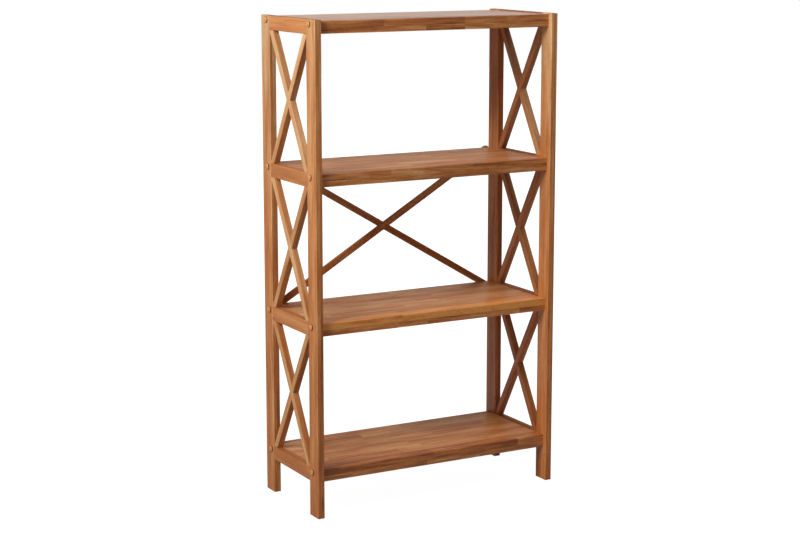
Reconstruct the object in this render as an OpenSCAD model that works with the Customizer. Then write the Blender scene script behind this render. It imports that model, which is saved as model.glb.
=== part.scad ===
// Free-standing wooden bookcase with four shelves, crossed slats in its open ends
// and one cross behind the middle opening. Millimetres, Z up, front towards -Y.
// The origin is on the floor, under the middle of the case.

/* [Overall] */
// Width over the outer faces of the posts
case_w = 800; // [600:10:1100]
// Depth over the posts
case_d = 350; // [300:5:450]
// Height of the lowest end rails above the floor
foot_h = 102; // [60:1:160]
// Clear height between one end rail and the next
bay_h = 386; // [300:1:450]

/* [Posts] */
// Thickness of a post from side to side
post_t = 21; // [19:0.5:28]
// Depth of a post from front to back
post_d = 55; // [52:1:70]
// Radius of the eased long edges of posts and end rails
edge_r = 2; // [1:0.5:3]

/* [End rails] */
// Height of an end rail
rail_h = 42; // [38:1:60]
// Length of the stub tenon at each end of a rail
tenon_l = 12; // [8:0.5:12.5]
// Thickness of the tenon
tenon_t = 9; // [6:0.5:12]
// Height of the tenon
tenon_h = 30; // [20:1:34]
// Gap left for glue around tenons, laps, inserts and cap stems
glue_gap = 0.1; // [0.05:0.05:0.2]

/* [Shelves] */
// Thickness of a shelf board
board_t = 20; // [18:1:24]
// How far the rails stand above the surface of the board
shelf_drop = 3; // [0:0.5:6]
// How far the front edge of a shelf lies behind the front of the posts
front_set = 16; // [5:1:24]
// Height of the batten glued under each long edge of a board
batten_h = 17; // [10:1:25]
// Depth of the batten
batten_d = 35; // [20:1:60]
// Radius of the eased edges of boards and battens
board_r = 2; // [1:0.5:3]

/* [Side slats] */
// Width of a side slat, seen from the end of the case
slat_w = 21; // [15:0.5:28]
// How far a side slat lies back from both faces of the posts
slat_recess = 1; // [0.5:0.5:3]
// Height over which a slat's end bears on the post, next to the rail
slat_heel = 6; // [2:1:20]
// Radius of the eased long edges of side and back slats
slat_r = 1.5; // [0.5:0.5:2.5]

/* [Back brace] */
// Width of a back slat
back_slat_w = 20; // [16:1:28]
// Thickness of a back slat
back_slat_t = 10; // [8:1:14]
// How far the upper ends stand above the surface of the upper shelf
back_rise = 4; // [0:1:7]
// How far the lower ends reach below the surface of the lower shelf
back_drop = 18; // [15:1:24]
// Gap between the end of a back slat and the post
back_end_gap = 7; // [2:1:15]
// Length of the level cut across the end of a back slat
back_end_flat = 11; // [8:1:20]

/* [Bolts and caps] */
// Distance of a bolt from the edge of the post that faces the end rail
bolt_in = 20; // [19.5:0.5:24]
// Diameter of the bolt
bolt_d = 6; // [5:0.5:8]
// Length of the bolt under its head
bolt_l = 25; // [18:1:28]
// Diameter of the bolt head
bolt_head_d = 10; // [9:0.5:10]
// Height of the bolt head
bolt_head_h = 6; // [4:0.5:6]
// Width across the corners of the key socket in the head
socket_w = 5.8; // [4:0.2:7]
// Depth of the key socket
socket_depth = 3; // [2:0.5:3.5]
// Depth of the pocket for the head, from the outer face of the post
pocket_depth = 12; // [11.5:0.5:14]
// Clearance around the bolt head in its pocket
head_gap = 1; // [0.5:0.1:1.1]
// Clearance around the bolt in the post
shank_gap = 0.3; // [0.1:0.1:0.5]
// Clearance between the threads of bolts or screws and what they turn in
thread_gap = 0.05; // [0.02:0.01:0.1]
// Outer diameter of the threaded insert in the end of a board
insert_d = 10; // [9:0.5:12]
// Length of the insert
insert_l = 20; // [12:1:22]
// Diameter of the wooden cap over a bolt
cap_d = 18; // [14:1:20]
// Height of the cap above the post
cap_h = 6.5; // [4:0.5:8]
// Height of the straight rim of the cap
cap_rim = 1.5; // [0.5:0.5:3]
// Length of the stem that holds the cap in the pocket
stem_l = 5; // [3:0.5:5]

/* [Brace screws] */
// Diameter of the screws in the back slats
screw_d = 4; // [3:0.5:4.5]
// Length of a screw
screw_l = 25; // [20:1:27]
// Diameter of the countersunk screw head
screw_head_d = 8; // [6:0.5:8]
// Height of the screw head
screw_head_h = 2.6; // [2:0.1:3]
// Length of the screw's point
screw_point = 5; // [3:1:7]
// Distance of a screw from the end of the slat
screw_in = 10; // [8:1:12]
// Clearance around a screw in the slat
screw_gap = 0.2; // [0.1:0.1:0.4]
// Width of the cross recess in the screw head
cross_w = 1; // [0.6:0.1:1.2]
// Depth of the cross recess
cross_depth = 1.2; // [0.8:0.1:1.5]

/* [Hidden] */
$fn = 48;
sides = ["left", "right"];
ends = ["front", "back"];
levels = ["bottom", "lower", "upper", "top"];
bays = ["bottom", "middle", "top"];
ways = ["rising", "falling"];

// Direction of each named side, end and way
sign = [-1, 1];
way_sign = [1, -1];
lower_level = search(["lower"], levels)[0];
upper_level = search(["upper"], levels)[0];
// How far a cutting shape reaches past the face that it cuts
over = 1;

pitch = bay_h + rail_h;
case_h = foot_h + pitch * len(bays) + rail_h;
bay_d = case_d - 2 * post_d;
post_x = (case_w - post_t) / 2;
post_y = (case_d - post_d) / 2;
bolt_y = bay_d / 2 + bolt_in;
pocket_d = bolt_head_d + 2 * head_gap;

board_l = case_w - 2 * post_t;
shelf_front = -case_d / 2 + front_set;
shelf_back = case_d / 2 - back_slat_t;

slat_t = post_t - 2 * slat_recess;
slat_angle = lean(bay_d / 2, bay_h / 2 - slat_heel, slat_w);

back_x = board_l / 2 - back_end_gap;
back_top = shelf_z(upper_level) + back_rise;
back_foot = shelf_z(lower_level) - back_drop;
back_h = back_top - back_foot;
back_angle = lean(back_h / 2, back_x - back_end_flat, back_slat_w);

frame_colour = [0.74, 0.49, 0.32];
shelf_colour = [0.68, 0.45, 0.28];
brace_colour = [0.47, 0.29, 0.18];
cap_colour = [0.80, 0.54, 0.36];
steel_colour = [0.66, 0.67, 0.69];

// Underside of the end rails at a level
function rail_z(level) = foot_h + pitch * level;

// Surface of the shelf at a level
function shelf_z(level) = rail_z(level) + rail_h - shelf_drop;

// Mid-height of a bay
function bay_z(bay) = rail_z(bay) + rail_h + bay_h / 2;

// Angle between a centred slat and the direction in which it reaches furthest,
// when its edge passes through the point that lies far along and across from the middle
function lean(across, along, width) =
    acos(width / 2 / norm([across, along])) - atan2(along, across);

// Section of a bar with four eased edges
module eased_section(w, h, r) {
    square([w, h - 2 * r], center = true);
    square([w - 2 * r, h], center = true);
    for (x = [-1, 1], y = [-1, 1])
        translate([x * (w / 2 - r), y * (h / 2 - r)])
            circle(r);
}

// Section of a board with its two upper corners eased, standing on the middle of its
// lower edge
module board_section(depth, height) {
    translate([-depth / 2, 0])
        square([depth, height - board_r]);
    translate([-depth / 2 + board_r, 0])
        square([depth - 2 * board_r, height]);
    for (y = [-1, 1])
        translate([y * (depth / 2 - board_r), height - board_r])
            circle(board_r);
}

// Sweeps a section drawn in Y and Z along the whole length of a shelf
module along_shelf() {
    rotate([90, 0, 90])
        linear_extrude(board_l, center = true)
            children();
}

// Places something that points outwards on the outer face of each post, at a level
module at_bolts(level) {
    for (side = sign, end = sign)
        translate([side * case_w / 2, end * bolt_y, shelf_z(level) - board_t / 2])
            rotate([0, side * 90, 0])
                children();
}

// Places something that points backwards at both screws of a back slat
module at_screws(way) {
    for (up = sign)
        translate([
            up * way * (back_x - screw_in),
            case_d / 2,
            shelf_z(up > 0 ? upper_level : lower_level) - board_t / 2
        ])
            rotate([-90, 0, 0])
                children();
}

module post(end, side) {
    color(frame_colour)
        difference() {
            translate([side * post_x, end * post_y, 0])
                linear_extrude(case_h)
                    eased_section(post_t, post_d, edge_r);
            for (level = [0 : len(bays)]) {
                mortise(end, side, level);
                at_bolts(level)
                    bolt_bore();
            }
        }
}

// Pocket in a post for the tenon of the end rail
module mortise(end, side, level) {
    length = 2 * (tenon_l + glue_gap);
    translate([side * post_x, end * bay_d / 2, rail_z(level) + rail_h / 2])
        cube([tenon_t + 2 * glue_gap, length, tenon_h + 2 * glue_gap], center = true);
}

// Hole for a bolt through a post, with the pocket for its head and cap
module bolt_bore() {
    translate([0, 0, -pocket_depth])
        cylinder(d = pocket_d, h = pocket_depth + over);
    translate([0, 0, -post_t - over])
        cylinder(d = bolt_d + 2 * shank_gap, h = post_t + over);
}

module end_rail(side, level) {
    color(frame_colour)
        translate([side * post_x, 0, rail_z(level) + rail_h / 2]) {
            rotate([90, 0, 0])
                linear_extrude(bay_d, center = true)
                    eased_section(post_t, rail_h, edge_r);
            cube([tenon_t, bay_d + 2 * tenon_l, tenon_h], center = true);
        }
}

// Two of these cross in each bay of each end, halved into each other
module side_slat(side, bay, way) {
    reach = 2 * norm([bay_d, bay_h]);
    color(frame_colour)
        translate([side * post_x, 0, bay_z(bay)])
            difference() {
                intersection() {
                    rotate([way * slat_angle, 0, 0])
                        linear_extrude(reach, center = true)
                            eased_section(slat_t, slat_w, slat_r);
                    cube([post_t, bay_d, bay_h], center = true);
                }
                rotate([-way * slat_angle, 0, 0])
                    translate([side * way * slat_t / 2, 0, 0])
                        cube([slat_t + glue_gap, slat_w + 2 * glue_gap, reach], center = true);
            }
}

module shelf_board(level) {
    color(shelf_colour)
        difference() {
            along_shelf()
                translate([(shelf_front + shelf_back) / 2, shelf_z(level) - board_t])
                    board_section(shelf_back - shelf_front, board_t);
            at_bolts(level)
                translate([0, 0, -post_t - insert_l - glue_gap])
                    cylinder(d = insert_d + 2 * glue_gap, h = insert_l + glue_gap + over);
            if (level == lower_level || level == upper_level)
                for (way = way_sign)
                    at_screws(way)
                        translate([0, 0, -screw_l - over])
                            cylinder(d = screw_d + 2 * thread_gap, h = screw_l + 2 * over);
        }
}

// Stiffens the front or the back edge of a board from below
module batten(end, level) {
    edge = end < 0 ? shelf_front : shelf_back;
    color(shelf_colour)
        along_shelf()
            translate([edge - end * batten_d / 2, shelf_z(level) - board_t])
                mirror([0, 1])
                    board_section(batten_d, batten_h);
}

// Two of these cross behind the middle bay, halved into each other
module back_slat(way) {
    reach = 2 * norm([back_x, back_h]);
    color(brace_colour)
        difference() {
            translate([0, (case_d - back_slat_t) / 2, back_foot + back_h / 2])
                difference() {
                    intersection() {
                        rotate([0, way * (90 - back_angle), 0])
                            linear_extrude(reach, center = true)
                                eased_section(back_slat_w, back_slat_t, slat_r);
                        cube([2 * back_x, back_slat_t, back_h], center = true);
                    }
                    rotate([0, -way * (90 - back_angle), 0])
                        translate([0, way * back_slat_t / 2, 0])
                            cube(
                                [back_slat_w + 2 * glue_gap, back_slat_t + glue_gap, reach],
                                center = true
                            );
                }
            at_screws(way)
                screw_bore();
        }
}

// Countersunk hole for a screw through a back slat
module screw_bore() {
    translate([0, 0, -back_slat_t - over])
        cylinder(d = screw_d + 2 * screw_gap, h = back_slat_t + 2 * over);
    translate([0, 0, -screw_head_h])
        cylinder(
            d1 = screw_d + 2 * screw_gap,
            d2 = screw_head_d + 2 * screw_gap,
            h = screw_head_h
        );
}

module bolts(level) {
    color(steel_colour)
        at_bolts(level)
            translate([0, 0, -pocket_depth])
                difference() {
                    union() {
                        cylinder(d = bolt_head_d, h = bolt_head_h);
                        translate([0, 0, -bolt_l])
                            cylinder(d = bolt_d, h = bolt_l);
                    }
                    translate([0, 0, bolt_head_h - socket_depth])
                        cylinder(d = socket_w, h = socket_depth + over, $fn = 6);
                }
}

// Threaded sleeves in the ends of a board
module inserts(level) {
    color(steel_colour)
        at_bolts(level)
            translate([0, 0, -post_t - insert_l])
                difference() {
                    cylinder(d = insert_d, h = insert_l);
                    translate([0, 0, -over])
                        cylinder(d = bolt_d + 2 * thread_gap, h = insert_l + 2 * over);
                }
}

// Domed wooden buttons, each with a stem that fits the pocket over the bolt head
module caps(level) {
    radius = cap_d / 2;
    dome_h = cap_h - cap_rim;
    dome_r = (radius * radius + dome_h * dome_h) / 2 / dome_h;
    color(cap_colour)
        at_bolts(level) {
            rotate_extrude()
                intersection() {
                    translate([0, cap_h - dome_r])
                        circle(dome_r);
                    square([radius, cap_h]);
                }
            translate([0, 0, -stem_l])
                cylinder(d = pocket_d - 2 * glue_gap, h = stem_l + cap_rim / 2);
        }
}

module brace_screws() {
    color(steel_colour)
        for (way = way_sign)
            at_screws(way)
                difference() {
                    union() {
                        translate([0, 0, -screw_head_h])
                            cylinder(d1 = screw_d, d2 = screw_head_d, h = screw_head_h);
                        translate([0, 0, -screw_l + screw_point])
                            cylinder(d = screw_d, h = screw_l - screw_point - screw_head_h);
                        translate([0, 0, -screw_l])
                            cylinder(d1 = 0, d2 = screw_d, h = screw_point);
                    }
                    for (turn = [0, 90])
                        rotate([0, 0, turn])
                            cube([screw_d, cross_w, 2 * cross_depth], center = true);
                }
}

for (e = [0, 1], s = [0, 1])
    post(sign[e], sign[s]);
for (s = [0, 1], l = [0 : len(bays)])
    end_rail(sign[s], l);
for (s = [0, 1], b = [0 : len(bays) - 1], w = [0, 1])
    side_slat(sign[s], b, way_sign[w]);
for (l = [0 : len(bays)])
    shelf_board(l);
for (e = [0, 1], l = [0 : len(bays)])
    batten(sign[e], l);
for (w = [0, 1])
    back_slat(way_sign[w]);
for (l = [0 : len(bays)])
    bolts(l);
for (l = [0 : len(bays)])
    inserts(l);
for (l = [0 : len(bays)])
    caps(l);
brace_screws();
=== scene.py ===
import math
import random

import bmesh
import bpy
from mathutils import Matrix, Vector


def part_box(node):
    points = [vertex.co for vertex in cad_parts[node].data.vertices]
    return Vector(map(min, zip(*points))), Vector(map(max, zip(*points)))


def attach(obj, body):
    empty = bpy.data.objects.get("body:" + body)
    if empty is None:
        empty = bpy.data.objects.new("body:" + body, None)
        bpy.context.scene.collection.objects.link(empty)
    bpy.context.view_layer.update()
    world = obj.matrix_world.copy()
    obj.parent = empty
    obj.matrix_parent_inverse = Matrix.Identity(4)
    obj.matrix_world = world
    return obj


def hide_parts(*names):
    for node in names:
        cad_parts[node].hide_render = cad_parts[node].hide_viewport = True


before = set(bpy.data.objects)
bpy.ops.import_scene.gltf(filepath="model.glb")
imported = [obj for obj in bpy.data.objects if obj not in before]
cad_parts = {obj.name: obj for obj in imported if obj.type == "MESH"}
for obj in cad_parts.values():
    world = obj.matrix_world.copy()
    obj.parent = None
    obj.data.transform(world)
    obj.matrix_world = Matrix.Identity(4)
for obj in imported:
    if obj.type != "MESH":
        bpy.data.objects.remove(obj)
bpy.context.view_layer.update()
print("frame loaded with", len(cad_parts), "nodes")

mm = 0.001
tiny = 1e-6
weld = 1e-5  # points that lie nearer to each other than this become one
far = 9  # in metres, further out than any piece reaches
axisX, axisY, axisZ = Vector((1, 0, 0)), Vector((0, 1, 0)), Vector((0, 0, 1))
sides = {"left": -1, "right": 1}
ends = {"front": -1, "back": 1}
levels = ["bottom", "lower", "upper", "top"]
bays = ["bottom", "middle", "top"]
ways = {"rising": 1, "falling": -1}

# Inputs of the wood's node group and the corner attributes that feed them
grainLayers = {"Grain": "grain", "Tone": "tone", "Knot": "knot"}


def addNode(tree, kind, inputs=None, **settings):
    node = tree.nodes.new(kind)
    for name, value in settings.items():
        setattr(node, name, value)
    for name, value in (inputs or {}).items():
        if isinstance(value, bpy.types.NodeSocket):
            tree.links.new(value, node.inputs[name])
        else:
            node.inputs[name].default_value = value
    return node


def maths(tree, operation, *values):
    return addNode(tree, "ShaderNodeMath", dict(enumerate(values)), operation=operation).outputs[0]


def vectorMaths(tree, operation, *values):
    return addNode(tree, "ShaderNodeVectorMath", dict(enumerate(values)), operation=operation).outputs[0]


def lengthOf(tree, vector):
    return addNode(tree, "ShaderNodeVectorMath", {0: vector}, operation="LENGTH").outputs["Value"]


def mixColours(tree, factor, first, second):
    return addNode(tree, "ShaderNodeMix", {0: factor, 6: first, 7: second}, data_type="RGBA").outputs[2]


# Goes smoothly from low to high while the value goes from start to end
def smoothStep(tree, value, start, end, low=0.0, high=1.0):
    inputs = {0: value, 1: start, 2: end, 3: low, 4: high}
    return addNode(tree, "ShaderNodeMapRange", inputs, interpolation_type="SMOOTHSTEP").outputs[0]


# Noise stretched by a different amount along the grain, across it and through it
def stretchedNoise(tree, vector, stretch, detail, roughness=0.5):
    inputs = {
        "Vector": vectorMaths(tree, "MULTIPLY", vector, stretch),
        "Scale": 1.0,
        "Detail": detail,
        "Roughness": roughness,
    }
    return addNode(tree, "ShaderNodeTexNoise", inputs)


def startGroup(name, inputs, outputs):
    tree = bpy.data.node_groups.new(name, "ShaderNodeTree")
    for direction, sockets in (("INPUT", inputs), ("OUTPUT", outputs)):
        for socket, kind in sockets.items():
            tree.interface.new_socket(name=socket, in_out=direction, socket_type="NodeSocket" + kind)
    return tree, addNode(tree, "NodeGroupInput").outputs


def startMaterial(name):
    material = bpy.data.materials.new(name)
    material.use_nodes = True
    material.node_tree.nodes.clear()
    return material, material.node_tree


woodPattern = {
    "wander": (1.3, 4.0, 4.0),  # how the growth rings drift along a piece
    "wanderDetail": 1.5,
    "wanderReach": 0.030,
    "rings": {"Scale": 52.0, "Distortion": 2.2, "Detail": 2.0, "Detail Scale": 0.12},
    "streaks": (7.0, 105.0, 105.0),
    "streakDetail": (4.0, 0.62),
    "patches": (1.7, 17.0, 17.0),
    "patchDetail": 2.0,
    "fibres": (28.0, 1300.0, 1300.0),
    "fibreDetail": 1.0,
    "fibreShare": 0.15,
    "pores": (85.0, 950.0, 950.0),
    "poreRange": (0.64, 0.74),  # a pore opens as the noise goes from one to the other
    "redCast": (0.04, -0.06, -0.20),  # share that a red of 1 adds to red, green and blue
    "knotColour": (0.075, 0.028, 0.012, 1),
    "knotRagged": 1.6,
    "knotRange": (1.25, 0.35),  # from outside a knot's edge to its dark heart
    "knotShare": 0.6,
    "roughness": 0.52,
    "paleRoughness": -0.10,  # pale wood is smoother
    "fibreRoughness": 0.06,
    "streakHeight": 0.4,
    "poreHeight": -0.7,
}


def buildGrainGroup(pattern):
    tree, given = startGroup(
        "woodGrain",
        {
            "Grain": "Vector",
            "Tone": "Vector",
            "Knot": "Vector",
            "Pale": "Color",
            "Middle": "Color",
            "Dark": "Color",
            "Rings": "Float",
            "Streaks": "Float",
            "Patches": "Float",
            "Pores": "Float",
        },
        {"Color": "Color", "Roughness": "Float", "Height": "Float"},
    )
    reach = pattern["wanderReach"]
    drift = stretchedNoise(tree, given["Grain"], pattern["wander"], pattern["wanderDetail"]).outputs["Color"]
    drift = vectorMaths(tree, "MULTIPLY_ADD", drift, (0, reach, reach), (0, -reach / 2, -reach / 2))
    bent = vectorMaths(tree, "ADD", given["Grain"], drift)
    rings = addNode(
        tree,
        "ShaderNodeTexWave",
        {"Vector": bent, **pattern["rings"]},
        wave_type="RINGS",
        rings_direction="X",
        wave_profile="SAW",
    ).outputs["Fac"]
    streaks = stretchedNoise(tree, bent, pattern["streaks"], *pattern["streakDetail"]).outputs["Fac"]
    patches = stretchedNoise(tree, bent, pattern["patches"], pattern["patchDetail"]).outputs["Fac"]
    fibres = stretchedNoise(tree, given["Grain"], pattern["fibres"], pattern["fibreDetail"]).outputs["Fac"]
    pores = stretchedNoise(tree, bent, pattern["pores"], 0.0).outputs["Fac"]
    pores = smoothStep(tree, pores, *pattern["poreRange"])
    tone = addNode(tree, "ShaderNodeSeparateXYZ", {0: given["Tone"]}).outputs

    # How light the wood is at a spot: 0 is dark, half the middle colour and 1 pale
    light = maths(tree, "ADD", 0.5, tone[0])
    streaked = maths(tree, "MULTIPLY", given["Streaks"], maths(tree, "ADD", 1.0, tone[2]))
    shares = (
        (rings, given["Rings"]),
        (streaks, streaked),
        (patches, given["Patches"]),
        (fibres, pattern["fibreShare"]),
    )
    for part, share in shares:
        light = maths(tree, "MULTIPLY_ADD", maths(tree, "SUBTRACT", part, 0.5), share, light)
    colour = mixColours(tree, maths(tree, "MULTIPLY", light, 2.0), given["Dark"], given["Middle"])
    colour = mixColours(tree, maths(tree, "MULTIPLY_ADD", light, 2.0, -1.0), colour, given["Pale"])

    # Red or golden cast of the whole piece or stave
    cast = {0: pattern["redCast"], "Scale": tone[1]}
    cast = addNode(tree, "ShaderNodeVectorMath", cast, operation="SCALE").outputs[0]
    colour = vectorMaths(tree, "MULTIPLY", colour, vectorMaths(tree, "ADD", cast, (1, 1, 1)))
    opened = maths(tree, "MULTIPLY", pores, given["Pores"])
    colour = mixColours(tree, opened, colour, pattern["knotColour"])

    # The knot's own coordinates are 1 long at its edge
    ragged = maths(tree, "SUBTRACT", streaks, 0.5)
    ragged = maths(tree, "MULTIPLY_ADD", ragged, pattern["knotRagged"], lengthOf(tree, given["Knot"]))
    knot = smoothStep(tree, ragged, *pattern["knotRange"])
    knot = maths(tree, "MULTIPLY", knot, pattern["knotShare"])
    colour = mixColours(tree, knot, colour, pattern["knotColour"])

    rough = maths(tree, "MULTIPLY_ADD", light, pattern["paleRoughness"], pattern["roughness"])
    rough = maths(tree, "MULTIPLY_ADD", fibres, pattern["fibreRoughness"], rough)
    height = maths(tree, "MULTIPLY_ADD", streaks, pattern["streakHeight"], fibres)
    height = maths(tree, "MULTIPLY_ADD", pores, pattern["poreHeight"], height)
    addNode(tree, "NodeGroupOutput", {"Color": colour, "Roughness": rough, "Height": height})
    return tree


grainGroup = buildGrainGroup(woodPattern)

frameFinish = {
    "Pale": (0.76, 0.392, 0.160, 1),
    "Middle": (0.53, 0.182, 0.048, 1),
    "Dark": (0.25, 0.064, 0.015, 1),
    "Rings": 0.04,
    "Streaks": 1.1,
    "Patches": 1.1,
    "Pores": 0.3,
}
shelfFinish = dict(frameFinish, Streaks=1.6, Patches=1.0, Rings=0.10, Pores=0.35)
capFinish = dict(frameFinish, Streaks=0.4, Patches=0.3)

# Weight and roughness of the varnish, the index of refraction of the wood, and its relief
varnish = {
    "frameWood": (0.05, 0.35),
    "shelfWood": (0.25, 0.35),
    "topWood": (1.0, 0.28),
    "capWood": (0.3, 0.35),
}
woodIndex = 1.4
woodRelief = {"Strength": 0.12, "Distance": 0.0003}


def makeWood(name, finish):
    material, tree = startMaterial(name)
    inputs = {
        socket: addNode(tree, "ShaderNodeAttribute", attribute_name=layer).outputs["Vector"]
        for socket, layer in grainLayers.items()
    }
    inputs.update(finish)
    wood = addNode(tree, "ShaderNodeGroup", inputs, node_tree=grainGroup)
    bump = addNode(tree, "ShaderNodeBump", {"Height": wood.outputs["Height"], **woodRelief})
    coat, coatRoughness = varnish[name]
    shader = addNode(
        tree,
        "ShaderNodeBsdfPrincipled",
        {
            "Base Color": wood.outputs["Color"],
            "Roughness": wood.outputs["Roughness"],
            "Normal": bump.outputs["Normal"],
            "IOR": woodIndex,
            "Coat Weight": coat,
            "Coat Roughness": coatRoughness,
        },
    )
    addNode(tree, "ShaderNodeOutputMaterial", {"Surface": shader.outputs[0]})
    return material


frameWood = makeWood("frameWood", frameFinish)
shelfWood = makeWood("shelfWood", shelfFinish)
topWood = makeWood("topWood", shelfFinish)
capWood = makeWood("capWood", capFinish)

steelFinish = {
    "nodes": ("bolts", "inserts", "brace_screws"),
    "colour": (0.62, 0.63, 0.65, 1),
    "turned": (60.0, 60.0, 900.0),  # stretch of the fine lines left by turning
    "lineDetail": 3.0,
    "lineShade": 0.8,
    "roughness": 0.22,
    "lineRoughness": 0.2,
}


def makeSteel(finish):
    material, tree = startMaterial("steel")
    spot = addNode(tree, "ShaderNodeTexCoord").outputs["Object"]
    lines = stretchedNoise(tree, spot, finish["turned"], finish["lineDetail"]).outputs["Fac"]
    shaded = [finish["lineShade"] * c for c in finish["colour"][:3]] + [1]
    colour = mixColours(tree, lines, shaded, finish["colour"])
    rough = maths(tree, "MULTIPLY_ADD", lines, finish["lineRoughness"], finish["roughness"])
    inputs = {"Base Color": colour, "Metallic": 1.0, "Roughness": rough}
    shader = addNode(tree, "ShaderNodeBsdfPrincipled", inputs)
    addNode(tree, "ShaderNodeOutputMaterial", {"Surface": shader.outputs[0]})
    return material


steel = makeSteel(steelFinish)
for name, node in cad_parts.items():
    if name.startswith(steelFinish["nodes"]):
        node.data.materials.clear()
        node.data.materials.append(steel)
print("materials ready")


# Stands for the axes of a workpiece: its length is along, its width across
def setOut(middle, along, across):
    turn = Matrix((along, across, along.cross(across))).transposed().to_4x4()
    return Matrix.Translation(middle) @ turn


def middleAndSize(low, high):
    return (low + high) / 2, high - low


def sawBlank(length, width, thick):
    work = bmesh.new()
    bmesh.ops.create_cube(work, size=1.0)
    bmesh.ops.scale(work, vec=(length, width, thick), verts=work.verts)
    return work


def easeEdges(work, edges, radius, steps):
    made = bmesh.ops.bevel(
        work,
        geom=edges,
        offset=radius,
        offset_type="OFFSET",
        segments=steps,
        profile=0.5,
        affect="EDGES",
        clamp_overlap=True,
        material=-1,
    )
    for face in made["faces"]:
        face.smooth = True


def longEdges(work):
    return [e for e in work.edges if abs(e.verts[0].co.x - e.verts[1].co.x) > tiny]


def endEdges(work, length):
    return [e for e in work.edges if all(abs(abs(v.co.x) - length / 2) < tiny for v in e.verts)]


# A filled-in face takes smooth or flat from a neighbour by chance, so it is told
def layFlat(faces):
    for face in faces:
        face.smooth = False


def cutAt(work, point, normal, faces=None, clear=False):
    faces = list(work.faces) if faces is None else faces
    parts = dict.fromkeys(faces)
    parts.update(dict.fromkeys(e for f in faces for e in f.edges))
    parts.update(dict.fromkeys(v for f in faces for v in f.verts))
    bmesh.ops.bisect_plane(
        work,
        geom=list(parts),
        dist=tiny,
        plane_co=point,
        plane_no=normal,
        clear_outer=clear,
    )
    if clear:
        made = bmesh.ops.holes_fill(work, edges=[e for e in work.edges if e.is_boundary], sides=0)
        layFlat(made["faces"])


# Where a stick lies in the tree, in metres: how far beside it the heart of the tree runs, and
# how far along the pattern it may start
heartAway = (0.03, 0.10)
startAlong = (-40, 40)


# One stick of wood in a piece: the part of the workpiece it fills, its own run of grain, and its tone, where
# figure makes its streaks stronger and the last is the painted shade that its narrow faces add
def pickStave(
    dice,
    low=(-far, -far, -far),
    high=(far, far, far),
    light=0.0,
    red=0.0,
    figure=0.0,
    knot=None,
    edge=(0, 0),
):
    angle, heart = dice.uniform(0, 2 * math.pi), dice.uniform(*heartAway)
    along = dice.uniform(*startAlong)
    return {
        "low": Vector(low),
        "high": Vector(high),
        "shift": Vector((along, heart * math.cos(angle), heart * math.sin(angle))),
        "light": light,
        "red": red,
        "figure": figure,
        "knot": knot,
        "edge": edge,
    }


endGrain = {"light": -0.22, "facing": 0.7}  # sawn ends are darker


# Writes the run of the grain, the tone with its painted sheen and shade, and the nearest knot to the corners
# of all faces
def markGrain(work, place, staves, paintedLightFades=()):
    grain, tone, knot = (work.loops.layers.float_vector.new(layer) for layer in grainLayers.values())
    back = place.inverted()
    turn = back.to_3x3()

    def fills(stave, spot):
        return all(stave["low"][k] - tiny <= spot[k] <= stave["high"][k] + tiny for k in range(3))

    for face in work.faces:
        middle = back @ face.calc_center_median()
        stave = next(s for s in staves if fills(s, middle))
        facing = turn @ face.normal
        onEnd, onEdge = abs(facing.x) > endGrain["facing"], abs(facing.y)
        # Narrow faces get their stave's painted shade
        faceLight = stave["light"] + onEdge * stave["edge"][0] + (endGrain["light"] if onEnd else 0.0)
        faceRed = stave["red"] + onEdge * stave["edge"][1]
        for loop in face.loops:
            spot = back @ loop.vert.co
            loop[grain] = spot + stave["shift"]
            light, red = faceLight, faceRed
            # Painted sheen and shade, growing with height between two limits
            for start, end, paler, redder in paintedLightFades:
                share = min(1, max(0, (loop.vert.co.z - start) / (end - start)))
                light, red = light + share * paler, red + share * redder
            loop[tone] = (light, red, stave["figure"])
            if stave["knot"]:
                centre, size = stave["knot"]
                loop[knot] = [(spot[k] - centre[k] * mm) / (size[k] * mm) for k in range(3)]
            else:
                loop[knot] = (far, far, far)


def finishPiece(work, node, material):
    mesh = bpy.data.meshes.new(node + "_wood")
    work.to_mesh(mesh)
    work.free()
    mesh.materials.append(material)
    piece = bpy.data.objects.new(node + "_wood", mesh)
    bpy.context.scene.collection.objects.link(piece)
    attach(piece, "root")
    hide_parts(node)


posts = {
    "ease": 2.0,
    "steps": 4,
    "endEase": 0.8,
    "endSteps": 2,
    "seed": 21,
    # Layers glued face to face, from the left: right-hand limit in mm, light, red
    "layers": {
        "post_front_left": [(13, -0.04, 0.0), (21, -0.10, 0.4)],
        "post_back_left": [(9, 0.01, -0.2), (21, 0.02, 0.0)],
        "post_front_right": [(8, 0.07, 0.6), (15, 0.07, 0.6), (21, -0.03, 0.8)],
        # The back right post's wide layer is painted darker and redder, painted shade for its place inside
        # the case
        "post_back_right": [(4, 0.14, 0.7), (21, -0.24, 1.3)],
    },
    # Knots: place and size in mm, along the post from its middle, across and through
    "knots": {"post_front_left": ((-668, -27.5, -3), (34, 5, 3))},
    # Between these heights in mm the tone of the wood drifts, towards the head and towards the foot: painted
    # light, paler heads being painted sheen where the lamp lights the posts most, darker heads and feet
    # painted shade
    "paintedLightFades": {"head": (800, 1428), "foot": (450, 0)},
    # Light and red that are added at the very end
    "paintedSheenAndShade": {
        "post_front_left": {"head": (0.17, -1.5), "foot": (-0.05, 0.0)},
        "post_back_left": {"head": (0.29, -2.6), "foot": (-0.04, 0.2)},
        "post_front_right": {"head": (0.21, -1.9), "foot": (-0.24, 0.7)},
        "post_back_right": {"head": (-0.12, 0.2), "foot": (0.0, 0.0)},
    },
}


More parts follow.
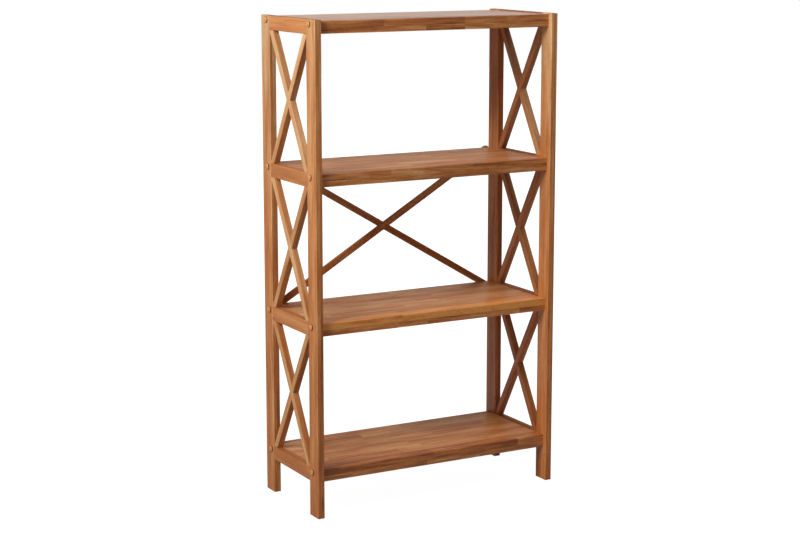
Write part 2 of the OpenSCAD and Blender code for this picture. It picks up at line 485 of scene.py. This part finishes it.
def makePost(node, settings, dice):
    middle, size = middleAndSize(*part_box(node))
    place = setOut(middle, axisZ, axisY)
    work = sawBlank(size.z, size.y, size.x)
    easeEdges(work, longEdges(work), settings["ease"] * mm, settings["steps"])
    easeEdges(work, endEdges(work, size.z), settings["endEase"] * mm, settings["endSteps"])
    # The workpiece's third axis points left, towards -X
    staves, left = [], 0.0
    for right, light, red in settings["layers"][node]:
        seam = size.x / 2 - right * mm
        isLast = right * mm >= size.x - tiny
        low = (-far, -far, -far if isLast else seam)
        high = (far, far, size.x / 2 - left * mm if left else far)
        staves.append(pickStave(dice, low, high, light, red, knot=settings["knots"].get(node)))
        if not isLast:
            cutAt(work, (0, 0, seam), axisZ)
        left = right
    work.transform(place)
    paintedLightFades = []
    for part, (start, end) in settings["paintedLightFades"].items():
        cutAt(work, (0, 0, start * mm), axisZ)
        paintedLightFades.append((start * mm, end * mm, *settings["paintedSheenAndShade"][node][part]))
    markGrain(work, place, staves, paintedLightFades)
    finishPiece(work, node, frameWood)


dice = random.Random(posts["seed"])
for end in ends:
    for side in sides:
        makePost(f"post_{end}_{side}", posts, dice)
print("posts ready")


rails = {
    "ease": 2.0,
    "steps": 4,
    "endEase": 0.4,
    "endSteps": 1,
    "seed": 34,
    # Light and red of each level, and what the right side adds, painted shade that darkens the rails of the
    # right side
    "tones": {"bottom": (0.0, 0.1), "lower": (0.0, 0.0), "upper": (-0.01, -0.8), "top": (0.06, -0.3)},
    "rightSideShade": (-0.20, -0.5),
    "figure": -0.35,
}


def makeRail(node, side, level, settings, dice):
    low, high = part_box(node)
    low.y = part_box(f"post_front_{side}")[1].y  # the tenons stay hidden in the posts
    high.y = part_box(f"post_back_{side}")[0].y
    middle, size = middleAndSize(low, high)
    place = setOut(middle, axisY, axisZ)
    work = sawBlank(size.y, size.z, size.x)
    easeEdges(work, longEdges(work), settings["ease"] * mm, settings["steps"])
    easeEdges(work, endEdges(work, size.y), settings["endEase"] * mm, settings["endSteps"])
    work.transform(place)
    light, red = settings["tones"][level]
    if side == "right":
        light, red = light + settings["rightSideShade"][0], red + settings["rightSideShade"][1]
    markGrain(work, place, [pickStave(dice, light=light, red=red, figure=settings["figure"])])
    finishPiece(work, node, frameWood)


dice = random.Random(rails["seed"])
for side in sides:
    for level in levels:
        makeRail(f"end_rail_{side}_{level}", side, level, rails, dice)
print("end rails ready")


# Angle at which a slat leans when its edge passes through the point that lies so much
# across and along from its middle
def leanOf(across, along, width):
    return math.acos(width / 2 / math.hypot(across, along)) - math.atan2(along, across)


# Takes out the half of a slat in which the crossing one lies, on the side away from keeps
def cutHalving(work, middle, keeps, other, width):
    side = keeps.cross(other).normalized()

    def offSide(spot):
        return (spot - middle).dot(side)

    def offMid(spot):
        return (spot - middle).dot(keeps)

    def inLap(face):
        return abs(offSide(face.calc_center_median())) < width / 2 - tiny

    for way in (-1, 1):
        cutAt(work, middle + side * way * width / 2, side)
    cutAt(work, middle, keeps, faces=[f for f in work.faces if inLap(f)])
    gone = [f for f in work.faces if inLap(f) and offMid(f.calc_center_median()) < -tiny]
    bmesh.ops.delete(work, geom=gone, context="FACES")
    rim = [e for e in work.edges if e.is_boundary]
    corners = list(dict.fromkeys(v for e in rim for v in e.verts))
    bed = [e for e in rim if all(abs(offMid(v.co)) < tiny for v in e.verts)]
    for way in (-1, 1):
        onWall = [v for v in corners if abs(offSide(v.co) - way * width / 2) < tiny]
        foot = work.edges.new([v for v in onWall if abs(offMid(v.co)) < tiny])
        wall = [e for e in rim if all(v in onWall for v in e.verts)]
        layFlat(bmesh.ops.contextual_create(work, geom=wall + [foot])["faces"])
        bed.append(foot)
    layFlat(bmesh.ops.contextual_create(work, geom=bed)["faces"])


# Sawn too long, trimmed square to the axes in trims, then halved where the other slat crosses
def makeSlat(node, settings, along, other, through, keeps, stave, trims):
    middle, size = middleAndSize(*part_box(node))
    place = setOut(middle, along, through.cross(along))
    work = sawBlank(2 * size.length, settings["width"] * mm, abs(size.dot(through)))
    easeEdges(work, longEdges(work), settings["ease"] * mm, settings["steps"])
    work.transform(place)
    for axis in trims:
        for way in (-1, 1):
            cutAt(work, middle + axis * way * size.dot(axis) / 2, axis * way, clear=True)
    lap = (settings["width"] + 2 * settings["glueGap"]) * mm
    cutHalving(work, middle, through * keeps, other, lap)
    bmesh.ops.recalc_face_normals(work, faces=work.faces)
    markGrain(work, place, [stave])
    finishPiece(work, node, frameWood)


sideSlats = {
    "width": 21.0,
    "ease": 1.5,
    "steps": 3,
    "glueGap": 0.1,
    "heel": 6.0,
    "seed": 55,
    # Light and red of each slat
    "tones": {
        "left_bottom_rising": (0.17, -1.0),
        "left_bottom_falling": (0.20, -0.8),
        "left_middle_rising": (0.16, -1.3),
        "left_middle_falling": (0.25, -0.8),
        "left_top_rising": (0.25, -1.3),
        "left_top_falling": (0.40, -1.5),
        "right_bottom_rising": (0.00, 1.4),
        "right_bottom_falling": (-0.03, 0.5),
        "right_middle_rising": (0.02, 0.1),
        "right_middle_falling": (-0.04, -0.7),
        "right_top_rising": (0.11, -0.3),
        "right_top_falling": (0.07, -1.1),
    },
    # Light and red that are added on the narrow faces: painted shade, as the light falls less on them
    "edges": {
        "left_rising": (-0.10, 0.8),
        "left_falling": (-0.19, 0.6),
        "right_rising": (-0.13, -0.3),
        "right_falling": (-0.06, -0.8),
    },
}


def makeSideSlat(side, bay, way, settings, dice):
    node = f"side_slat_{side}_{bay}_{way}"
    size = middleAndSize(*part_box(node))[1]
    lean = leanOf(size.y / 2, size.z / 2 - settings["heel"] * mm, settings["width"] * mm)
    along, other = (Vector((0, -ways[way] * f * math.sin(lean), math.cos(lean))) for f in (1, -1))
    light, red = settings["tones"][f"{side}_{bay}_{way}"]
    # The rising slat keeps its inner half at the lap, the falling one its outer half
    keeps = -sides[side] * ways[way]
    stave = pickStave(dice, light=light, red=red, edge=settings["edges"][f"{side}_{way}"])
    makeSlat(node, settings, along, other, axisX, keeps, stave, (axisY, axisZ))


dice = random.Random(sideSlats["seed"])
for side in sides:
    for bay in bays:
        for way in ways:
            makeSideSlat(side, bay, way, sideSlats, dice)
print("side slats ready")


backSlats = {
    "width": 20.0,
    "ease": 1.5,
    "steps": 3,
    "glueGap": 0.1,
    "endFlat": 11.0,
    "seed": 89,
    "tones": {"rising": (0.09, -1.1), "falling": (0.19, -1.3)},
}


def makeBackSlat(way, settings, dice):
    node = f"back_slat_{way}"
    size = middleAndSize(*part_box(node))[1]
    lean = leanOf(size.z / 2, size.x / 2 - settings["endFlat"] * mm, settings["width"] * mm)
    along, other = (Vector((math.cos(lean), 0, ways[way] * f * math.sin(lean))) for f in (1, -1))
    light, red = settings["tones"][way]
    # The rising slat keeps its front half at the lap, the falling one its back half
    stave = pickStave(dice, light=light, red=red)
    makeSlat(node, settings, along, other, axisY, -ways[way], stave, (axisX, axisZ))


dice = random.Random(backSlats["seed"])
for way in ways:
    makeBackSlat(way, backSlats, dice)
print("back slats ready")


boards = {
    "rows": 8,
    "ease": 2.0,
    "steps": 4,
    "endEase": 0.4,
    "endSteps": 1,
    "seed": 144,
    # Length of the staves in mm. The first one, and the least of the last one, are shares of the shortest
    "shortest": 150,
    "longest": 400,
    "firstShare": (0.3, 1.0),
    "lastShare": 0.5,
    "lightSpread": 0.07,
    "redSpread": 0.3,
    # Light and red of a whole level
    "tones": {"bottom": (0.16, 0.1), "lower": (0.18, 0.0), "upper": (0.18, 0.0), "top": (0.24, -0.2)},
    # Staves of the front row: right-hand limit as a share of the length, light, red
    "frontRow": {
        "top": [(0.27, -0.03, 0.1), (0.62, -0.08, 0.3), (0.81, 0.06, -0.1), (1, 0.01, 0.1)],
        "upper": [(0.30, 0.02, 0.3), (0.66, 0.04, 0.1), (1, 0.10, 0.2)],
        "lower": [(0.35, 0.50, 2.5), (0.75, 0.52, 2.5), (1, 0.52, 2.6)],
        "bottom": [(0.49, -0.26, 0.6), (0.88, -0.30, 0.7), (1, -0.15, 0.4)],
    },
    "frontFigure": 0.2,
}


def cutStaves(work, staves):
    for y in sorted({s["low"].y for s in staves if s["low"].y > -far}):
        cutAt(work, (0, y, 0), axisY)
    for stave in staves:
        if stave["high"].x < far:
            row = [f for f in work.faces if stave["low"].y < f.calc_center_median().y < stave["high"].y]
            cutAt(work, (stave["high"].x, 0, 0), axisX, faces=row)


def rowStaves(dice, cuts, length, low, high, figure):
    staves, left = [], -far
    for share, light, red in cuts:
        right = far if share == 1 else (share - 0.5) * length
        staves.append(pickStave(dice, (left, low, -far), (right, high, far), light, red, figure))
        left = right
    return staves


def randomCuts(dice, settings, length, light, red):
    shortest, longest = settings["shortest"], settings["longest"]
    cuts, reached = [], dice.uniform(*settings["firstShare"]) * shortest
    while reached < length - shortest * settings["lastShare"]:
        cuts.append(reached / length)
        reached += dice.uniform(shortest, longest)
    spread, redSpread = settings["lightSpread"], settings["redSpread"]
    return [(share, light + dice.gauss(0, spread), red + dice.gauss(0, redSpread)) for share in cuts + [1]]


def makeBoard(node, level, settings, dice):
    middle, size = middleAndSize(*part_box(node))
    place = setOut(middle, axisX, axisY)
    work = sawBlank(size.x, size.y, size.z)
    upper = [e for e in longEdges(work) if e.verts[0].co.z > 0]
    easeEdges(work, upper, settings["ease"] * mm, settings["steps"])
    easeEdges(work, endEdges(work, size.x), settings["endEase"] * mm, settings["endSteps"])
    rows, staves = settings["rows"], []
    for row in range(rows):
        low = -far if row == 0 else (row / rows - 0.5) * size.y
        high = far if row == rows - 1 else ((row + 1) / rows - 0.5) * size.y
        cuts, figure = randomCuts(dice, settings, size.x / mm, *settings["tones"][level]), 0.0
        if row == 0:
            cuts, figure = settings["frontRow"][level], settings["frontFigure"]
        staves += rowStaves(dice, cuts, size.x, low, high, figure)
    cutStaves(work, staves)
    work.transform(place)
    markGrain(work, place, staves)
    finishPiece(work, node, topWood if level == "top" else shelfWood)


dice = random.Random(boards["seed"])
for level in levels:
    makeBoard(f"shelf_board_{level}", level, boards, dice)
print("shelf boards ready")


battens = {
    "ease": 2.0,
    "steps": 4,
    "endEase": 0.4,
    "endSteps": 1,
    "seed": 233,
    "figure": 0.2,
    # Staves: right-hand limit as a share of the length, light, red
    "staves": {
        "front_top": [(0.45, -0.11, 0.1), (0.62, -0.07, 0.0), (1, -0.05, 0.0)],
        "front_upper": [(0.40, -0.08, 0.1), (0.64, -0.04, 0.0), (1, 0.08, 0.3)],
        "front_lower": [(0.33, 0.02, 0.9), (0.46, 0.22, 0.6), (0.88, 0.12, 0.8), (1, -0.06, 0.9)],
        "front_bottom": [(0.46, -0.06, 0.1), (0.70, 0.0, 0.0), (1, -0.12, 0.1)],
        "back_top": [(0.38, 0.0, 0.1), (1, -0.06, 0.2)],
        "back_upper": [(0.55, -0.05, 0.2), (1, 0.05, 0.0)],
        "back_lower": [(0.42, 0.04, -0.2), (1, -0.03, 0.1)],
        "back_bottom": [(0.61, -0.04, 0.1), (1, 0.03, -0.1)],
    },
}


def makeBatten(end, level, settings, dice):
    node = f"{end}_batten_{level}"
    middle, size = middleAndSize(*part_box(node))
    place = setOut(middle, axisX, axisY)
    work = sawBlank(size.x, size.y, size.z)
    lower = [e for e in longEdges(work) if e.verts[0].co.z < 0]
    easeEdges(work, lower, settings["ease"] * mm, settings["steps"])
    easeEdges(work, endEdges(work, size.x), settings["endEase"] * mm, settings["endSteps"])
    staves = rowStaves(dice, settings["staves"][f"{end}_{level}"], size.x, -far, far, settings["figure"])
    cutStaves(work, staves)
    work.transform(place)
    markGrain(work, place, staves)
    finishPiece(work, node, shelfWood)


dice = random.Random(battens["seed"])
for end in ends:
    for level in levels:
        makeBatten(end, level, battens, dice)
print("battens ready")


caps = {
    "rim": 3.2,
    "rimEase": 0.6,
    "rimSteps": 2,
    "arcSteps": 9,
    "turnSteps": 48,
    "seed": 377,
    # The dome is painted paler than the posts: its own paler wood, and partly a painted highlight
    "light": 0.42,
    # Painted shade round the foot of a cap, up to this height: the foot is darkened to stand in for the
    # shadow where the cap meets the post
    "footShade": 3.0,
    "footShadeLight": -0.65,
}


# A cap that stands on the origin: a straight rim with a dome on it
def turnCap(radius, height, settings):
    work = bmesh.new()
    rimTop = settings["rim"] * mm
    dome = height - rimTop
    curve = (radius**2 + dome**2) / 2 / dome
    reach = math.asin(radius / curve)
    outline = [(0, 0), (radius, 0)]
    for step in range(settings["arcSteps"] + 1):
        angle = reach * (1 - step / settings["arcSteps"])
        outline.append((curve * math.sin(angle), height - curve + curve * math.cos(angle)))
    verts = [work.verts.new((x, 0, z)) for x, z in outline]
    edges = [work.edges.new(pair) for pair in zip(verts, verts[1:])]
    bmesh.ops.spin(
        work,
        geom=verts + edges,
        cent=(0, 0, 0),
        axis=(0, 0, 1),
        angle=2 * math.pi,
        steps=settings["turnSteps"],
        use_merge=True,
    )
    bmesh.ops.remove_doubles(work, verts=work.verts, dist=weld)
    shoulder = [e for e in work.edges if all(abs(v.co.z - rimTop) < weld for v in e.verts)]
    easeEdges(work, shoulder, settings["rimEase"] * mm, settings["rimSteps"])
    bmesh.ops.recalc_face_normals(work, faces=work.faces)
    for face in work.faces:
        face.smooth = face.calc_center_median().z > tiny
    return work


def makeCaps(level, settings, dice):
    node = f"caps_{level}"
    low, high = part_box(node)
    radius = (high.z - low.z) / 2
    height = high.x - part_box("post_front_right")[1].x
    footShade = settings["footShade"] * mm
    whole = bmesh.new()
    for layer in grainLayers.values():
        whole.loops.layers.float_vector.new(layer)
    for side in sides.values():
        for end in ends.values():
            work = turnCap(radius, height, settings)
            # The dome points away from the case and the grain runs up the post
            outward = axisX * side
            spot = Vector((side * (high.x - height), end * (high.y - radius), (low.z + high.z) / 2))
            work.transform(setOut(spot, axisZ.cross(outward), axisZ))
            # The cap's foot is painted darker up to the set height, painted shade where it meets the post;
            # the dome above is painted paler
            staves = [
                pickStave(dice, high=(far, footShade, far), light=settings["footShadeLight"]),
                pickStave(dice, low=(-far, footShade, -far), light=settings["light"]),
            ]
            markGrain(work, setOut(spot, axisZ, outward), staves)
            cap = bpy.data.meshes.new("cap")
            work.to_mesh(cap)
            work.free()
            whole.from_mesh(cap)
            bpy.data.meshes.remove(cap)
    finishPiece(whole, node, capWood)


dice = random.Random(caps["seed"])
for level in levels:
    makeCaps(level, caps, dice)
print("caps ready")


# The bright backdrop stands behind the bookcase, where the camera looks
backdropShape = {
    "towards": (0.48, 0.87, 0),
    "edges": (0.45, 0.95),  # it fades in between these, 1 being straight towards it
    "foot": 0.03,  # rise of the direction at which it begins to dim
}


# How bright the backdrop is in a direction: 1 at its foot, 0 towards the dim room before the
# bookcase, and from the foot up to the top it goes to dimmed
def backdrop(tree, direction, top, dimmed):
    facing = {0: direction, 1: backdropShape["towards"]}
    facing = addNode(tree, "ShaderNodeVectorMath", facing, operation="DOT_PRODUCT").outputs["Value"]
    height = addNode(tree, "ShaderNodeSeparateXYZ", {0: direction}).outputs["Z"]
    inside = smoothStep(tree, facing, *backdropShape["edges"])
    upward = smoothStep(tree, height, backdropShape["foot"], top, 1.0, dimmed)
    return maths(tree, "MULTIPLY", inside, upward)


# How white a ray sees the background: wholly from the camera and through clear parts,
# in gloss only as far as the backdrop reaches, and not at all in soft light
def seenRay(tree, behind):
    path = addNode(tree, "ShaderNodeLightPath").outputs
    seen = maths(tree, "MAXIMUM", path["Is Camera Ray"], path["Is Transmission Ray"])
    return maths(tree, "MAXIMUM", seen, maths(tree, "MULTIPLY", path["Is Glossy Ray"], behind))


floorFinish = {
    "colour": (0.50, 0.50, 0.49, 1),
    "white": 1.17,
    "veil": 0.84,  # how much of the white lies over the shadow beside the bookcase
    "near": 0.45,  # from here to far the veil grows to pure white
    "far": 1.1,
    "reach": 14.0,
}


def makeFloor(settings):
    material, tree = startMaterial("paleFloor")
    material.cycles.emission_sampling = "NONE"  # its white is only seen, so no light is looked for in it
    spot = addNode(tree, "ShaderNodeTexCoord").outputs["Object"]
    fade = smoothStep(tree, lengthOf(tree, spot), settings["near"], settings["far"], settings["veil"], 1.0)
    matt = addNode(tree, "ShaderNodeBsdfDiffuse", {"Color": settings["colour"]}).outputs[0]
    white = {"Color": (1, 1, 1, 1), "Strength": settings["white"]}
    white = addNode(tree, "ShaderNodeEmission", white).outputs[0]
    shown = addNode(tree, "ShaderNodeMixShader", {0: fade, 1: matt, 2: white}).outputs[0]
    outward = addNode(tree, "ShaderNodeVectorMath", {0: spot}, operation="NORMALIZE").outputs[0]
    behind = backdrop(tree, outward, 1.0, 1.0)
    both = addNode(tree, "ShaderNodeMixShader", {0: seenRay(tree, behind), 1: matt, 2: shown}).outputs[0]
    addNode(tree, "ShaderNodeOutputMaterial", {"Surface": both})
    work = bmesh.new()
    bmesh.ops.create_grid(work, x_segments=2, y_segments=2, size=settings["reach"])
    mesh = bpy.data.meshes.new("floor")
    work.to_mesh(mesh)
    work.free()
    mesh.materials.append(material)
    floor = bpy.data.objects.new("floor", mesh)
    bpy.context.scene.collection.objects.link(floor)


worldLight = {
    "seen": 1.0,
    "soft": 0.085,
    "gloss": 2.4,  # strength of the backdrop in reflections, up to pure white
    "top": 0.21,  # rise of the direction at which the backdrop is dimmed to the next value
    "dimmed": 0.03,
}


def makeWorld(settings):
    world = bpy.data.worlds.new("studio")
    bpy.context.scene.world = world
    world.use_nodes = True
    tree = world.node_tree
    tree.nodes.clear()
    direction = addNode(tree, "ShaderNodeTexCoord").outputs["Generated"]
    behind = backdrop(tree, direction, settings["top"], settings["dimmed"])
    behind = maths(tree, "MULTIPLY", behind, settings["gloss"])
    soft, seen = (
        addNode(tree, "ShaderNodeBackground", {"Color": (1, 1, 1, 1), "Strength": settings[name]}).outputs[0]
        for name in ("soft", "seen")
    )
    both = addNode(tree, "ShaderNodeMixShader", {0: seenRay(tree, behind), 1: soft, 2: seen}).outputs[0]
    addNode(tree, "ShaderNodeOutputWorld", {"Surface": both})


# Softboxes, in metres, degrees and watts. The back and the side one are for the views from behind
lamps = {
    "keyLamp": {
        "place": (-3.14, -0.88, 2.85),
        "aim": (0, 0, 1.6),
        "wide": 2.2,
        "high": 0.8,
        "spread": 140,
        "power": 87.0,
        "gloss": True,
    },
    "overheadLamp": {
        "place": (0.3, -1.5, 3.7),
        "aim": (0, 0, 0.9),
        "wide": 2.0,
        "high": 1.0,
        "spread": 180,
        "power": 24.0,
        "gloss": True,
    },
    "backLamp": {
        "place": (1.0, 2.6, 2.0),
        "aim": (0, 0, 0.8),
        "wide": 2.4,
        "high": 1.2,
        "spread": 180,
        "power": 30.0,
        "gloss": False,
    },
    "sideLamp": {
        "place": (3.2, 0.6, 1.1),
        "aim": (0, 0, 0.8),
        "wide": 1.8,
        "high": 1.4,
        "spread": 180,
        "power": 26.0,
        "gloss": False,
    },
}


def makeLamp(name, settings):
    data = bpy.data.lights.new(name, "AREA")
    data.shape = "RECTANGLE"
    data.size = settings["wide"]
    data.size_y = settings["high"]
    data.spread = math.radians(settings["spread"])
    data.energy = settings["power"]
    lamp = bpy.data.objects.new(name, data)
    lamp.location = settings["place"]
    aim = Vector(settings["aim"]) - Vector(settings["place"])
    lamp.rotation_euler = aim.to_track_quat("-Z", "Y").to_euler()
    lamp.visible_camera = False
    lamp.visible_glossy = settings["gloss"]
    bpy.context.scene.collection.objects.link(lamp)


# Place and reach in metres, turn to the right and tilt down in degrees, lens and sensor in mm
camera = {
    "place": (-2.634, -4.700, 1.686),
    "turn": 28.94,
    "tilt": 10.12,
    "lens": 82.24,
    "sensor": 36.0,
    "shift": -0.02,
    "reach": 100.0,
}


def makeCamera(settings):
    data = bpy.data.cameras.new("camera")
    data.lens = settings["lens"]
    data.sensor_width = settings["sensor"]
    data.shift_y = settings["shift"]
    data.clip_end = settings["reach"]
    shot = bpy.data.objects.new("camera", data)
    shot.location = settings["place"]
    shot.rotation_euler = (math.radians(90 - settings["tilt"]), 0, math.radians(-settings["turn"]))
    bpy.context.scene.collection.objects.link(shot)
    bpy.context.scene.camera = shot


makeFloor(floorFinish)
makeWorld(worldLight)
for name, settings in lamps.items():
    makeLamp(name, settings)
makeCamera(camera)
bpy.context.scene.view_settings.view_transform = "Standard"
print("floor, light and camera ready")
